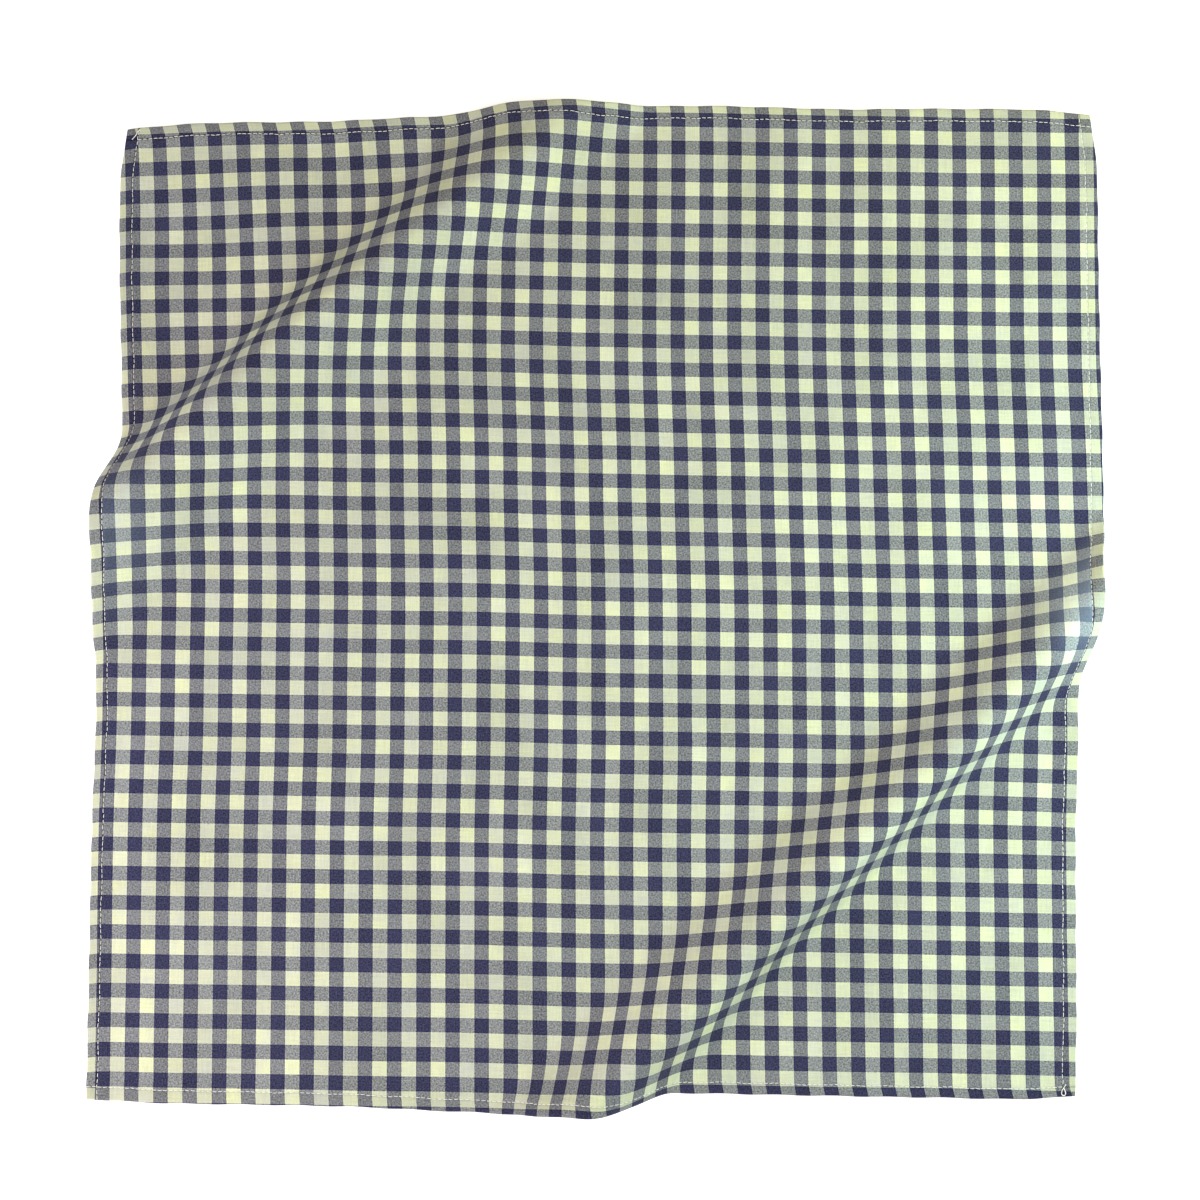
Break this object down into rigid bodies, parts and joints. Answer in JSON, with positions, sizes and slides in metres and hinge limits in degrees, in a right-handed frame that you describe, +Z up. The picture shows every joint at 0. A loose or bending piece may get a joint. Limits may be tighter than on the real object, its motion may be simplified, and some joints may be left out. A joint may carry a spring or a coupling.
{
  "type": "gingham bandana",
  "caption": "Square hemmed cotton bandana in navy and pale yellow gingham, laid out flat with soft diagonal ridges across opposite corners.",
  "frame": {"origin": "middle of the bandana's outline, on the surface it lies on", "axes": "+X to the right along the lower hem, +Y along the side hem away from the viewer, +Z up"},
  "size_m": [0.561, 0.5614, 0.0338],
  "materials": {
    "cloth": "yarn-dyed plain-weave cotton gingham, navy and pale yellow, matt"
  },
  "bodies": {
    "root": {"cloth": "cloth"}
  },
  "joints": []
}
